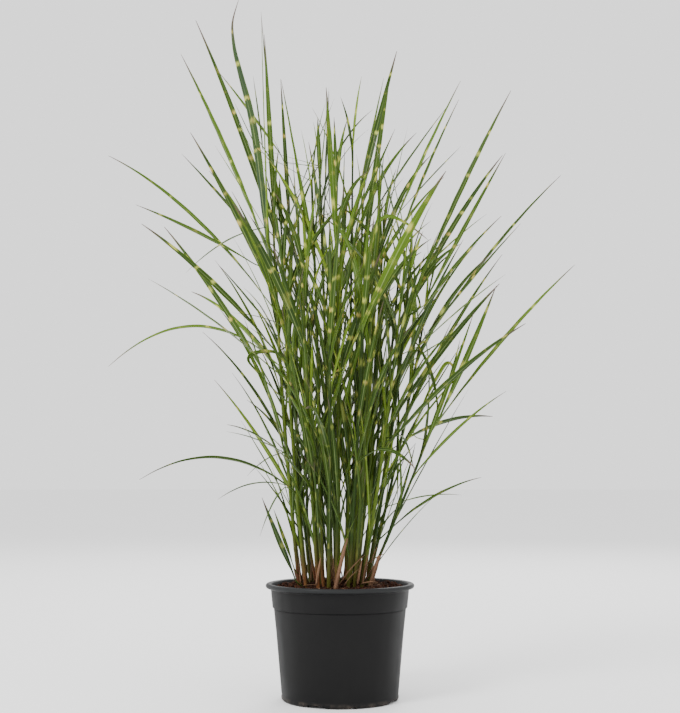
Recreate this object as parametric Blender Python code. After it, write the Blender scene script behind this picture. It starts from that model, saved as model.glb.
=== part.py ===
"""Zebra grass in a nursery pot: pot, soil, culms, leaf blades and straw stubs, in metres."""

import math

import bmesh
import bpy
from mathutils import Matrix, Quaternion, Vector

CM = 0.01
MM = 0.001
UP = Vector((0.0, 0.0, 1.0))

# Pot, a 19 cm nursery pot
RIM_RADIUS = 95.0 * MM
POT_HEIGHT = 145.0 * MM
LIP_DROP = 6.2 * MM
COLLAR_TOP_RADIUS = 88.6 * MM
COLLAR_BOTTOM = 115.0 * MM
COLLAR_BOTTOM_RADIUS = 86.0 * MM
BODY_TOP_RADIUS = 84.4 * MM
FOOT_RADIUS = 73.8 * MM
WALL = 1.8 * MM
FLOOR_HEIGHT = 5.0 * MM
FLOOR_THICKNESS = 2.2 * MM
FOOT_RING_WIDTH = 9.0 * MM
DRAINS = 4
DRAIN_START = 65.5
DRAIN_HEIGHT = 4.5 * MM
DRAIN_WIDENING = 3.6
SLIT_START = 102.8
SLIT_HEIGHT = 3.3 * MM
CUTTER_CENTRE = -0.7 * MM
POT_SEGMENTS = 60

# Soil
GAP = 0.35 * MM
SOIL_EDGE = 140.4 * MM
SOIL_CROWN = 144.5 * MM
CROWN_RADIUS = 48.0 * MM
SOCKET_DEPTH = 14.0 * MM
SOIL_SEGMENTS = 48

# Culms and leaves
CULM_SIDES = 6
CULM_STATIONS = 7
CULM_TOP_TAPER = 0.55
LEAF_STATIONS = 13
LEAF_BASE_SHARE = 0.6
LEAF_WIDEST_AT = 0.38
LEAF_TURNED_BY = 0.6
LEAF_TIP_WIDTH = 0.7 * MM
LEAF_FOLD = 0.16
LEAF_MIN_DEPTH = 0.55 * MM

# Each culm: foot (x, y) on the soil, top (x, y, z) and bow in cm, thickness in mm, and its
# leaves: height of the collar, tip (x, y, z), arch as a share of the span, width in mm, twist.
CULMS = {
    "left_edge": ((-5.2, -0.6), (-8.8, -1.4, 62.4), -0.8, 5.0, [
        (52.5, (-13.4, -3.2, 90.6), 0.03, 12.0, 40.0),
        (49.6, (-30.4, -2.0, 69.9), 0.16, 6.5, -60.0),
        (37.7, (-23.6, 2.6, 61.4), 0.08, 8.0, 80.0),
    ]),
    "left_front": ((-4.3, -2.5), (-7.3, -6.2, 54.2), -0.6, 4.6, [
        (48.3, (-18.5, -11.0, 70.3), 0.08, 8.0, 40.0),
        (42.4, (-24.1, -12.5, 58.5), 0.10, 8.5, -80.0),
        (26.2, (-23.8, -12.5, 27.6), 0.34, 6.0, 40.0),
    ]),
    "left_back": ((-3.8, 2.0), (-8.1, 5.0, 62.8), -0.5, 4.6, [
        (52.8, (-22.8, 10.6, 88.3), 0.07, 11.0, 60.0),
        (41.5, (-30.6, 2.0, 42.5), 0.50, 6.5, -50.0),
        (57.5, (-11.0, 5.4, 92.4), 0.02, 8.0, 30.0),
    ]),
    "front_left": ((-2.7, -3.8), (-4.5, -9.4, 50.7), -0.4, 4.4, [
        (44.0, (-11.9, -24.0, 58.2), 0.12, 9.0, 40.0),
        (26.7, (-12.6, -21.5, 33.7), 0.16, 7.5, -40.0),
    ]),
    "back_left": ((-2.4, 3.9), (-5.7, 9.8, 60.5), -0.5, 4.4, [
        (51.3, (-21.3, 15.0, 95.1), 0.08, 9.0, -60.0),
        (36.0, (-22.6, 24.5, 56.1), 0.18, 8.5, 80.0),
    ]),
    "middle_left": ((-2.2, -0.9), (-3.7, -2.4, 66.3), 0.3, 5.0, [
        (57.0, (-7.5, -7.5, 78.3), 0.04, 7.0, 100.0),
    ]),
    "heart_left": ((-1.1, 1.5), (-2.8, 3.0, 69.9), 0.2, 4.6, [
        (61.1, (-1.5, 3.6, 80.4), 0.02, 8.0, -60.0),
    ]),
    "front": ((-1.4, -4.3), (-1.2, -11.0, 50.5), 0.0, 4.4, [
        (44.8, (0.5, -26.8, 60.0), 0.12, 9.0, 60.0),
        (30.6, (-3.7, -26.6, 35.2), 0.20, 8.0, -60.0),
    ]),
    "back": ((-0.5, 4.6), (-1.0, 11.6, 58.6), 0.0, 4.4, [
        (50.4, (-4.9, 26.8, 80.1), 0.11, 9.0, -60.0),
        (33.9, (4.1, 26.6, 40.8), 0.20, 8.0, 60.0),
    ]),
    "heart_front": ((-0.2, -2.0), (-0.5, -4.4, 65.9), 0.2, 4.8, [
        (57.6, (-1.7, -13.0, 75.4), 0.08, 8.0, 40.0),
    ]),
    "heart": ((0.7, 0.4), (1.7, 0.8, 71.4), 0.2, 4.6, [
        (61.7, (7.7, 1.6, 85.4), 0.05, 8.0, 80.0),
    ]),
    "front_right": ((1.0, -3.7), (3.1, -9.0, 54.7), 0.4, 4.4, [
        (47.0, (12.3, -19.5, 63.2), 0.10, 11.0, -60.0),
        (29.6, (8.3, -22.5, 28.8), 0.22, 7.0, 40.0),
    ]),
    "back_right": ((1.0, 3.2), (3.1, 8.4, 63.5), 0.4, 4.4, [
        (56.6, (7.5, 17.0, 87.9), 0.07, 8.5, 40.0),
        (45.6, (12.5, 25.4, 62.4), 0.16, 8.0, -80.0),
    ]),
    "middle_right": ((2.0, -1.5), (5.1, -3.8, 62.9), 0.5, 5.0, [
        (55.7, (15.2, -9.0, 77.6), 0.06, 8.5, 60.0),
    ]),
    "right_heart": ((2.2, 1.7), (6.0, 4.4, 62.7), 0.5, 4.6, [
        (53.8, (17.0, 10.8, 81.7), 0.07, 8.0, -60.0),
    ]),
    "right_front": ((2.7, -3.1), (7.6, -8.4, 49.9), 0.6, 4.4, [
        (44.1, (19.2, -15.5, 58.8), 0.10, 8.5, 60.0),
        (31.6, (22.1, -14.0, 46.1), 0.11, 8.0, -40.0),
    ]),
    "right_back": ((2.9, 3.6), (8.1, 9.4, 54.9), 0.6, 4.4, [
        (48.0, (24.2, 18.5, 75.7), 0.09, 9.0, 40.0),
        (30.7, (22.0, 17.0, 36.7), 0.17, 8.0, -60.0),
    ]),
    "right": ((3.4, -0.4), (9.2, -1.6, 56.1), 0.7, 4.8, [
        (49.4, (22.3, -3.8, 78.1), 0.06, 9.0, 60.0),
        (35.7, (20.2, -5.6, 52.3), 0.08, 8.0, -80.0),
        (19.7, (17.6, -5.4, 27.9), 0.16, 7.0, 40.0),
    ]),
    "right_slanting": ((3.5, 1.3), (11.8, 4.2, 51.8), 0.8, 4.6, [
        (45.3, (30.9, 8.4, 70.0), 0.08, 8.5, -40.0),
    ]),
    "right_edge": ((3.3, -1.6), (13.3, -4.4, 38.5), 0.4, 3.8, [
        (34.5, (30.3, -3.0, 55.2), 0.07, 7.5, 40.0),
    ]),
}

# Old cut stubs: foot (x, y) on the soil, top (x, y, z) in cm, thickness in mm
STRAWS = {
    "straw_pink": ((-0.6, -5.0), (0.8, -6.2, 20.4), 4.0),
    "straw_frayed": ((3.7, -2.9), (4.9, -4.3, 18.2), 4.6),
}


def material(name, colour, roughness, metallic=0.0):
    """Principled material with one colour."""
    made = bpy.data.materials.new(name)
    made.use_nodes = True
    made.diffuse_color = (*colour, 1.0)
    shader = made.node_tree.nodes["Principled BSDF"]
    shader.inputs["Base Color"].default_value = (*colour, 1.0)
    shader.inputs["Roughness"].default_value = roughness
    shader.inputs["Metallic"].default_value = metallic
    return made


def finish(name, mesh, slot):
    """Make the object for a bmesh, with its faces turned outwards."""
    bmesh.ops.recalc_face_normals(mesh, faces=mesh.faces)
    data = bpy.data.meshes.new(name)
    mesh.to_mesh(data)
    mesh.free()
    data.materials.append(slot)
    thing = bpy.data.objects.new(name, data)
    bpy.context.collection.objects.link(thing)
    return thing


def lathe(profile, segments):
    """Closed solid of revolution about Z; the profile starts and ends on the axis."""
    mesh = bmesh.new()
    rings = []
    for radius, height in profile[1:-1]:
        ring = []
        for i in range(segments):
            angle = 2.0 * math.pi * i / segments
            ring.append(mesh.verts.new((radius * math.cos(angle), radius * math.sin(angle), height)))
        rings.append(ring)
    bottom = mesh.verts.new((0.0, 0.0, profile[0][1]))
    top = mesh.verts.new((0.0, 0.0, profile[-1][1]))
    for lower, upper in zip(rings, rings[1:]):
        for i in range(segments):
            j = (i + 1) % segments
            mesh.faces.new((lower[i], lower[j], upper[j], upper[i]))
    for i in range(segments):
        j = (i + 1) % segments
        mesh.faces.new((bottom, rings[0][j], rings[0][i]))
        mesh.faces.new((top, rings[-1][i], rings[-1][j]))
    return mesh


def loft(sections):
    """Closed solid through equal rings of points, with a flat face at each end."""
    mesh = bmesh.new()
    rings = [[mesh.verts.new(point) for point in section] for section in sections]
    count = len(rings[0])
    for lower, upper in zip(rings, rings[1:]):
        for i in range(count):
            j = (i + 1) % count
            mesh.faces.new((lower[i], lower[j], upper[j], upper[i]))
    mesh.faces.new(list(reversed(rings[0])))
    mesh.faces.new(rings[-1])
    return mesh


def cut(target, cutter):
    """Subtract the cutter from the target and remove the cutter."""
    cutter.hide_render = True
    cutter.display_type = "WIRE"
    modifier = target.modifiers.new("cut", "BOOLEAN")
    modifier.operation = "DIFFERENCE"
    modifier.solver = "EXACT"
    modifier.object = cutter
    bpy.context.view_layer.update()
    graph = bpy.context.evaluated_depsgraph_get()
    data = bpy.data.meshes.new_from_object(target.evaluated_get(graph))
    target.modifiers.clear()
    target.data = data
    bpy.data.objects.remove(cutter)


def arch(start, end, rise, share):
    """Point at a share of the way along a bow from start to end, raised by rise in the middle."""
    control = (start + end) / 2.0 + rise
    return start * (1 - share) ** 2 + control * 2 * share * (1 - share) + end * share**2


def arch_direction(start, end, rise, share):
    control = (start + end) / 2.0 + rise
    return ((control - start) * (1 - share) + (end - control) * share).normalized()


def soil_height(x, y):
    """Height of the soil: level at the wall and mounded over the crown."""
    share = min(1.0, math.hypot(x, y) / CROWN_RADIUS)
    return SOIL_EDGE + (SOIL_CROWN - SOIL_EDGE) * (0.5 + 0.5 * math.cos(math.pi * share))


def wall_radius(height):
    """Outside of the pot's tapering wall at a height."""
    share = (height - FLOOR_HEIGHT) / (COLLAR_BOTTOM - FLOOR_HEIGHT)
    return FOOT_RADIUS + (BODY_TOP_RADIUS - FOOT_RADIUS) * share


def foot_slot(degrees, height, widening, slot):
    """Arched cutter lying outwards through the foot: a wide low drain, or a narrow slit."""
    mesh = bmesh.new()
    turn = Matrix.Rotation(math.radians(degrees), 4, "Z")
    side = Matrix.Rotation(math.pi / 2.0, 4, "Y")
    middle = Matrix.Translation((FOOT_RADIUS - 3.0 * MM, 0.0, CUTTER_CENTRE))
    widen = Matrix.Diagonal((1.0, widening, 1.0, 1.0))
    bmesh.ops.create_cone(
        mesh,
        cap_ends=True,
        segments=18,
        radius1=height,
        radius2=height,
        depth=2.4 * FOOT_RING_WIDTH,
        matrix=turn @ middle @ widen @ side,
    )
    return finish("foot_slot", mesh, slot)


def build_pot(slot):
    """Moulded pot: outside up to the rolled rim, then down the inside to the floor."""
    lip_middle = RIM_RADIUS - 3.0 * MM
    lip_under = POT_HEIGHT - LIP_DROP
    inner_top = COLLAR_TOP_RADIUS - WALL
    profile = [
        (0.0, FLOOR_HEIGHT),
        (FOOT_RADIUS - FOOT_RING_WIDTH, FLOOR_HEIGHT),
        (FOOT_RADIUS - FOOT_RING_WIDTH, 0.0),
        (FOOT_RADIUS - 1.5 * MM, 0.0),
        (FOOT_RADIUS + 0.4 * MM, 1.6 * MM),
        (wall_radius(FLOOR_HEIGHT), FLOOR_HEIGHT),
        (BODY_TOP_RADIUS, COLLAR_BOTTOM - 2.4 * MM),
        (BODY_TOP_RADIUS + 0.2 * MM, COLLAR_BOTTOM - 0.6 * MM),
        (COLLAR_BOTTOM_RADIUS, COLLAR_BOTTOM),
        (COLLAR_TOP_RADIUS, lip_under - 1.0 * MM),
        (lip_middle, lip_under - 0.8 * MM),
        (RIM_RADIUS - 0.8 * MM, lip_under),
        (RIM_RADIUS, lip_under + 2.2 * MM),
        (RIM_RADIUS, POT_HEIGHT - 2.4 * MM),
        (RIM_RADIUS - 1.0 * MM, POT_HEIGHT - 0.7 * MM),
        (lip_middle, POT_HEIGHT),
        (inner_top + 2.2 * MM, POT_HEIGHT - 0.4 * MM),
        (inner_top + 0.4 * MM, POT_HEIGHT - 2.6 * MM),
        (inner_top, lip_under),
        (COLLAR_BOTTOM_RADIUS - WALL, COLLAR_BOTTOM + 1.0 * MM),
        (wall_radius(COLLAR_BOTTOM) - WALL, COLLAR_BOTTOM - 1.5 * MM),
        (wall_radius(FLOOR_HEIGHT) - WALL, FLOOR_HEIGHT + FLOOR_THICKNESS),
        (0.0, FLOOR_HEIGHT + FLOOR_THICKNESS),
    ]
    pot = finish("pot", lathe(profile, POT_SEGMENTS), slot)
    for i in range(DRAINS):
        turn = 360.0 * i / DRAINS
        cut(pot, foot_slot(DRAIN_START + turn, DRAIN_HEIGHT, DRAIN_WIDENING, slot))
        cut(pot, foot_slot(SLIT_START + turn, SLIT_HEIGHT, 1.0, slot))
    return pot


def build_soil(slot, stems):
    """Root ball: stands clear of the pot by a hair, with a blind socket for each stem."""
    under = FLOOR_HEIGHT + FLOOR_THICKNESS + GAP
    clear = WALL + GAP
    mound = []
    for share in (1.0, 0.75, 0.5, 0.25):
        radius = CROWN_RADIUS * share
        mound.append((radius, soil_height(radius, 0.0)))
    profile = [
        (0.0, under),
        (wall_radius(under) - clear, under),
        (wall_radius(COLLAR_BOTTOM) - clear, COLLAR_BOTTOM - 1.2 * MM),
        (COLLAR_BOTTOM_RADIUS - clear, COLLAR_BOTTOM + 1.0 * MM),
        (COLLAR_TOP_RADIUS - 1.0 * MM - clear, SOIL_EDGE - 1.0 * MM),
        (COLLAR_TOP_RADIUS - 4.0 * MM - clear, SOIL_EDGE),
        *mound,
        (0.0, soil_height(0.0, 0.0)),
    ]
    soil = finish("soil", lathe(profile, SOIL_SEGMENTS), slot)
    for foot, direction, radius in stems:
        bottom = foot - direction * (SOCKET_DEPTH + GAP)
        top = foot + direction * 10.0 * MM
        sections = [tube_ring(bottom, radius + GAP), tube_ring(top, radius + GAP)]
        cut(soil, finish("socket", loft(sections), slot))
    return soil


def tube_ring(centre, radius):
    """Level ring of a stem."""
    ring = []
    for i in range(CULM_SIDES):
        angle = 2.0 * math.pi * (i + 0.5) / CULM_SIDES
        ring.append(centre + Vector((math.cos(angle), math.sin(angle), 0.0)) * radius)
    return ring


def build_culm(name, foot, top, rise, thickness, slot):
    """Tapering stem from its socket to its top; returns its direction at the soil."""
    direction = arch_direction(foot, top, rise, 0.0)
    radius = thickness / 2.0
    sections = [tube_ring(foot - direction * SOCKET_DEPTH, radius)]
    for i in range(CULM_STATIONS):
        share = i / (CULM_STATIONS - 1)
        taper = 1.0 - (1.0 - CULM_TOP_TAPER) * share
        sections.append(tube_ring(arch(foot, top, rise, share), radius * taper))
    finish(name, loft(sections), slot)
    return direction


def leaf_width(share, width):
    """Narrow at the collar, widest past a third, then a long taper to the tip."""
    if share < LEAF_WIDEST_AT:
        swell = math.sin(0.5 * math.pi * share / LEAF_WIDEST_AT)
        return width * (LEAF_BASE_SHARE + (1.0 - LEAF_BASE_SHARE) * swell)
    taper = (share - LEAF_WIDEST_AT) / (1.0 - LEAF_WIDEST_AT)
    return LEAF_TIP_WIDTH + (width - LEAF_TIP_WIDTH) * (1.0 - taper**1.7)


def build_leaf(name, start, tip, lift, width, twist, slot):
    """Blade folded along its midrib: two edges above and a keel below, arching to its tip."""
    chord = tip - start
    rise = UP * (lift * chord.length)
    across = chord.cross(UP).normalized()
    sections = []
    for i in range(LEAF_STATIONS):
        share = i / (LEAF_STATIONS - 1)
        along = arch_direction(start, tip, rise, share)
        half = leaf_width(share, width) / 2.0
        turned = math.sin(0.5 * math.pi * min(1.0, share / LEAF_TURNED_BY))
        side = Quaternion(along, math.radians(twist) * turned) @ across
        over = side.cross(along)
        depth = max(LEAF_MIN_DEPTH * (1.0 - 0.6 * share), 2.0 * half * LEAF_FOLD)
        centre = arch(start, tip, rise, share)
        sections.append([centre - side * half, centre - over * depth, centre + side * half])
    return finish(name, loft(sections), slot)


def culm_at_height(foot, top, rise, height):
    """Point of a culm at a height, and the share of its way."""
    low, high = 0.0, 1.0
    for _ in range(30):
        share = (low + high) / 2.0
        if arch(foot, top, rise, share).z < height:
            low = share
        else:
            high = share
    return arch(foot, top, rise, share), share


def build_plant(culm_slot, leaf_slot):
    """All culms with their leaves; returns each culm's foot, direction and radius."""
    stems = []
    for name, (foot_xy, top, bow, thickness, leaves) in CULMS.items():
        x, y = foot_xy[0] * CM, foot_xy[1] * CM
        foot = Vector((x, y, soil_height(x, y)))
        top = Vector(top) * CM
        rise = Vector((bow * CM, 0.0, 0.0))
        radius = thickness * MM / 2.0
        direction = build_culm("culm_" + name, foot, top, rise, 2.0 * radius, culm_slot)
        stems.append((foot, direction, radius))
        for i, (height, tip, lift, width, twist) in enumerate(leaves):
            tip = Vector(tip) * CM
            collar, share = culm_at_height(foot, top, rise, height * CM)
            outward = Vector((tip.x - collar.x, tip.y - collar.y, 0.0)).normalized()
            reach = radius * (1.0 - (1.0 - CULM_TOP_TAPER) * share) + width * MM * LEAF_FOLD + 2.0 * GAP
            start = collar + outward * reach
            build_leaf(f"leaf_{name}_{i + 1}", start, tip, lift, width * MM, twist, leaf_slot)
    return stems


def build_straws(slot):
    stems = []
    for name, (foot_xy, top, thickness) in STRAWS.items():
        x, y = foot_xy[0] * CM, foot_xy[1] * CM
        foot = Vector((x, y, soil_height(x, y)))
        top = Vector(top) * CM
        radius = thickness * MM / 2.0
        direction = build_culm(name, foot, top, Vector((0.0, 0.0, 0.0)), 2.0 * radius, slot)
        stems.append((foot, direction, radius))
    return stems


def build():
    for thing in list(bpy.data.objects):
        bpy.data.objects.remove(thing)
    plastic = material("pot_plastic", (0.022, 0.022, 0.023), 0.45)
    peat = material("peat", (0.042, 0.016, 0.009), 0.95)
    stem = material("culm_green", (0.16, 0.20, 0.05), 0.5)
    blade = material("leaf_green", (0.10, 0.19, 0.045), 0.45)
    straw = material("straw", (0.42, 0.22, 0.13), 0.7)
    build_pot(plastic)
    stems = build_plant(stem, blade) + build_straws(straw)
    build_soil(peat, stems)


build()
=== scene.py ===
"""Zebra grass in a black nursery pot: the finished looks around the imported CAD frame."""

import math
import random

import bmesh
import bpy
import numpy as np
from mathutils import Matrix, Vector


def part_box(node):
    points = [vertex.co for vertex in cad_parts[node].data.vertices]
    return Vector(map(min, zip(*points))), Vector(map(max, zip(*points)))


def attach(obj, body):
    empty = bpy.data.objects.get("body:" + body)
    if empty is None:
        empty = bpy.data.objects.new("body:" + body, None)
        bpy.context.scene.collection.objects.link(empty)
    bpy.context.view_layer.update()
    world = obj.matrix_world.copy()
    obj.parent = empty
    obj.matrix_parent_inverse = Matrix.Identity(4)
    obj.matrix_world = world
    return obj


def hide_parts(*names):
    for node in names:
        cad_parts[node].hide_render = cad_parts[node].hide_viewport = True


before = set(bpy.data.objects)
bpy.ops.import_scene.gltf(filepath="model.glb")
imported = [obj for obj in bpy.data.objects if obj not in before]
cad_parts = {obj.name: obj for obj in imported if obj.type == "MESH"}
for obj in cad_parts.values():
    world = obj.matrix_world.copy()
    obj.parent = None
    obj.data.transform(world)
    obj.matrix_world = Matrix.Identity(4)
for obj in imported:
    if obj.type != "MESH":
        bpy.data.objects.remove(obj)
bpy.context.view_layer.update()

# ---------------------------------------------------------------------------------------------
# Pot. A thin black polypropylene moulding: one turned shape with a rolled rim, a collar that
# lets pots stack, a tapering wall, and a foot in pads with wide low drains and slits between.
# ---------------------------------------------------------------------------------------------
MM = 0.001
POT_SIDES = 180
FOOT_SLOTS = [(65.5, 4.5 * MM, 3.6), (102.8, 3.3 * MM, 1.0)]  # degrees, height, widening
SLOT_REPEATS = 4
SLOT_SIDES = 32
SLOT_INSET = 3.0 * MM
SLOT_CENTRE = -0.7 * MM
SLOT_DEPTH = 21.6 * MM
CREASE = math.radians(32.0)
WALL = 1.8 * MM
LIP_RADIUS = 3.0 * MM
LIP_UNDERSIDE = 3.2 * MM  # down from the top to the middle of the lip's lower curve
collar_height = 115.0 * MM
foot_radius = 73.8 * MM
foot_height = 5.0 * MM
rim_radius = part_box("pot")[1].x
pot_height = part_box("pot")[1].z

foot_outline = [
    (0.0, foot_height),
    (foot_radius - 9.0 * MM, foot_height),
    (foot_radius - 8.6 * MM, 0.6 * MM),
    (foot_radius - 7.8 * MM, 0.0),
    (foot_radius - 2.2 * MM, 0.0),
    (foot_radius - 0.6 * MM, 0.8 * MM),
    (foot_radius + 0.5 * MM, 2.4 * MM),
    (foot_radius + 0.7 * MM, 4.4 * MM),
    (foot_radius + 0.1 * MM, 6.2 * MM),
    (foot_radius + 0.5 * MM, 9.0 * MM),
    (foot_radius + 3.9 * MM, 46.0 * MM),
    (foot_radius + 7.4 * MM, 84.0 * MM),
]
collar_outline = [
    (84.2 * MM, collar_height - 3.4 * MM),
    (84.3 * MM, collar_height - 2.2 * MM),
    (84.0 * MM, collar_height - 1.5 * MM),
    (84.7 * MM, collar_height - 0.8 * MM),
    (85.7 * MM, collar_height - 0.4 * MM),
    (86.1 * MM, collar_height + 0.5 * MM),
    (88.4 * MM, pot_height - 8.0 * MM),
    (89.2 * MM, pot_height - 7.0 * MM),
    (91.8 * MM, pot_height - 6.2 * MM),
]
lip_outline = []
for drop, angles in ((LIP_UNDERSIDE, range(-75, 1, 15)), (LIP_RADIUS, range(0, 85, 12))):
    for angle in map(math.radians, angles):
        radius = rim_radius + LIP_RADIUS * (math.cos(angle) - 1.0)
        lip_outline.append((radius, pot_height - drop + LIP_RADIUS * math.sin(angle)))
inner_outline = [
    (89.6 * MM, pot_height - 0.2 * MM),
    (88.0 * MM, pot_height - 1.0 * MM),
    (87.2 * MM, pot_height - 2.8 * MM),
    (86.8 * MM, pot_height - 7.0 * MM),
    (86.0 * MM - WALL, collar_height + 1.0 * MM),
    (84.4 * MM - WALL, collar_height - 1.5 * MM),
    (foot_radius - WALL, foot_height + 2.4 * MM),
    (foot_radius - WALL - 1.2 * MM, foot_height + 2.2 * MM),
    (0.0, foot_height + 2.2 * MM),
]


def turned(outline, sides):
    """Closed shape turned about Z from an outline that starts and ends on the axis."""
    mesh = bmesh.new()
    points = [mesh.verts.new((radius, 0.0, height)) for radius, height in outline]
    edges = [mesh.edges.new(pair) for pair in zip(points, points[1:])]
    bmesh.ops.spin(
        mesh,
        geom=points + edges,
        cent=(0.0, 0.0, 0.0),
        axis=(0.0, 0.0, 1.0),
        angle=2.0 * math.pi,
        steps=sides,
        use_merge=True,
    )
    bmesh.ops.remove_doubles(mesh, verts=mesh.verts, dist=0.01 * MM)
    bmesh.ops.recalc_face_normals(mesh, faces=mesh.faces)
    return mesh


def mesh_data(name, mesh):
    """Mesh data made from a bmesh, which is then freed."""
    data = bpy.data.meshes.new(name)
    mesh.to_mesh(data)
    mesh.free()
    return data


def placed(name, data):
    """A new object in the scene."""
    made = bpy.data.objects.new(name, data)
    bpy.context.scene.collection.objects.link(made)
    return made


def finished(name, mesh, material, smooth=True):
    """Puts a bmesh in the scene as a piece that rides on the plant's one body."""
    data = mesh_data(name, mesh)
    data.polygons.foreach_set("use_smooth", [smooth] * len(data.polygons))
    data.materials.append(material)
    piece = placed(name, data)
    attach(piece, "root")
    return piece


def carve(piece, cutter):
    """Takes the cutter's shape out of a piece for good."""
    tool = placed("cutter", mesh_data("cutter", cutter))
    modifier = piece.modifiers.new("carve", "BOOLEAN")
    modifier.operation = "DIFFERENCE"
    modifier.solver = "EXACT"
    modifier.object = tool
    graph = bpy.context.evaluated_depsgraph_get()
    data = bpy.data.meshes.new_from_object(piece.evaluated_get(graph))
    piece.modifiers.clear()
    data.set_sharp_from_angle(angle=CREASE)
    piece.data = data
    bpy.data.objects.remove(tool)


class Finish:
    """A material put together from shader nodes. An input is a value or a node's output."""

    def __init__(self, name, roughness, specular):
        self.material = bpy.data.materials.new(name)
        self.material.use_nodes = True
        self.tree = self.material.node_tree
        self.shader = self.tree.nodes["Principled BSDF"]
        self.shader.inputs["Roughness"].default_value = roughness
        self.shader.inputs["Specular IOR Level"].default_value = specular
        self.place = self.node("ShaderNodeTexCoord").outputs["Object"]
        self.height = self.node("ShaderNodeSeparateXYZ", {0: self.place}).outputs[2]

    def node(self, kind, inputs=None, **settings):
        made = self.tree.nodes.new(kind)
        for key, value in settings.items():
            setattr(made, key, value)
        for key, value in (inputs or {}).items():
            if isinstance(value, bpy.types.NodeSocket):
                self.tree.links.new(value, made.inputs[key])
            else:
                made.inputs[key].default_value = value
        return made

    def mix(self, share, first, second):
        """Blends two colours, each three numbers or an output."""
        first, second = ((*end, 1.0) if isinstance(end, tuple) else end for end in (first, second))
        inputs = {0: share, 6: first, 7: second}
        return self.node("ShaderNodeMix", inputs, data_type="RGBA").outputs[2]

    def maths(self, operation, first, second=0.0):
        return self.node("ShaderNodeMath", {0: first, 1: second}, operation=operation).outputs[0]

    def times(self, first, second):
        return self.maths("MULTIPLY", first, second)

    def plus(self, *values):
        total = values[0]
        for value in values[1:]:
            total = self.maths("ADD", total, value)
        return total

    def step(self, value, low, high, to_low=0.0, to_high=1.0):
        """Smooth change from to_low to to_high as a value goes from low to high."""
        span = {"From Min": low, "From Max": high, "To Min": to_low, "To Max": to_high}
        inputs = {"Value": value, **span}
        return self.node("ShaderNodeMapRange", inputs, interpolation_type="SMOOTHSTEP").outputs[0]

    def towards(self, colour, other, value, low, high, most=1.0):
        """Blends a colour into another, at most by most, as a value goes from low to high."""
        return self.mix(self.step(value, low, high, 0.0, most), colour, other)

    def seat(self, x, y=0.0, z=0.0):
        return self.node("ShaderNodeCombineXYZ", {0: x, 1: y, 2: z}).outputs[0]

    def stretched(self, x, y, z):
        return self.node("ShaderNodeMapping", {"Vector": self.place, "Scale": (x, y, z)}).outputs[0]

    def noise(self, vector, scale, detail=2.0, rough=0.5):
        inputs = {"Vector": vector, "Scale": scale, "Detail": detail, "Roughness": rough}
        return self.node("ShaderNodeTexNoise", inputs).outputs["Fac"]

    def draw(self, x, y=0.0):
        """A random number that is the same wherever x and y are."""
        return self.node("ShaderNodeTexWhiteNoise", {"Vector": self.seat(x, y)}).outputs["Value"]

    def note(self, name):
        return self.node("ShaderNodeAttribute", attribute_name=name).outputs["Fac"]

    def use(self, socket, value):
        self.tree.links.new(value, self.shader.inputs[socket])

    def relief(self, height, strength, distance):
        inputs = {"Height": height, "Strength": strength, "Distance": distance}
        self.use("Normal", self.node("ShaderNodeBump", inputs).outputs[0])


plastic = Finish("black_polypropylene", 0.5, 0.10)
clouds = plastic.noise(plastic.place, 22.0, 3.0)
grain = plastic.noise(plastic.place, 1500.0)
flow = plastic.noise(plastic.stretched(60.0, 60.0, 3.0), 1.0, 3.0)
scuffs = plastic.step(plastic.noise(plastic.place, 90.0, 6.0, 0.7), 0.62, 0.78)
splashes = plastic.step(plastic.noise(plastic.place, 60.0, 5.0, 0.65), 0.4, 0.75)
dust = plastic.times(plastic.step(plastic.height, 7.5 * MM, 3.5 * MM), splashes)
# Painted highlight: the top few millimetres of the rolled rim are blended towards lighter grey, as
# if the lip caught the light.
painted_lip_highlight = plastic.step(plastic.height, pot_height - 6.0 * MM, pot_height - 4.0 * MM)
colour = plastic.mix(clouds, (0.0055, 0.0055, 0.0057), (0.0090, 0.0088, 0.0088))
colour = plastic.mix(plastic.times(painted_lip_highlight, 0.3), colour, (0.040, 0.043, 0.044))
colour = plastic.mix(plastic.times(scuffs, 0.08), colour, (0.050, 0.049, 0.047))
colour = plastic.mix(plastic.times(dust, 0.7), colour, (0.085, 0.068, 0.055))
plastic.use("Base Color", colour)
plastic.use("Roughness", plastic.step(plastic.plus(flow, clouds), 0.7, 1.3, 0.42, 0.56))
plastic.relief(plastic.plus(plastic.times(grain, 0.35), flow), 0.18, 0.15 * MM)

pot_outline = foot_outline + collar_outline + lip_outline + inner_outline
pot = finished("nursery_pot", turned(pot_outline, POT_SIDES), plastic.material)
slots = bmesh.new()
for degrees, slot_height, widening in FOOT_SLOTS:
    for repeat in range(SLOT_REPEATS):
        azimuth = math.radians(degrees) + 2.0 * math.pi * repeat / SLOT_REPEATS
        turn = Matrix.Rotation(azimuth, 4, "Z")
        outwards = Matrix.Translation((foot_radius - SLOT_INSET, 0.0, SLOT_CENTRE))
        widen = Matrix.Diagonal((1.0, widening, 1.0, 1.0))
        bmesh.ops.create_cone(
            slots,
            cap_ends=True,
            segments=SLOT_SIDES,
            radius1=slot_height,
            radius2=slot_height,
            depth=SLOT_DEPTH,
            matrix=turn @ outwards @ widen @ Matrix.Rotation(math.pi / 2.0, 4, "Y"),
        )
bmesh.ops.recalc_face_normals(slots, faces=slots.faces)
carve(pot, slots)
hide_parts("pot")

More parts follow.
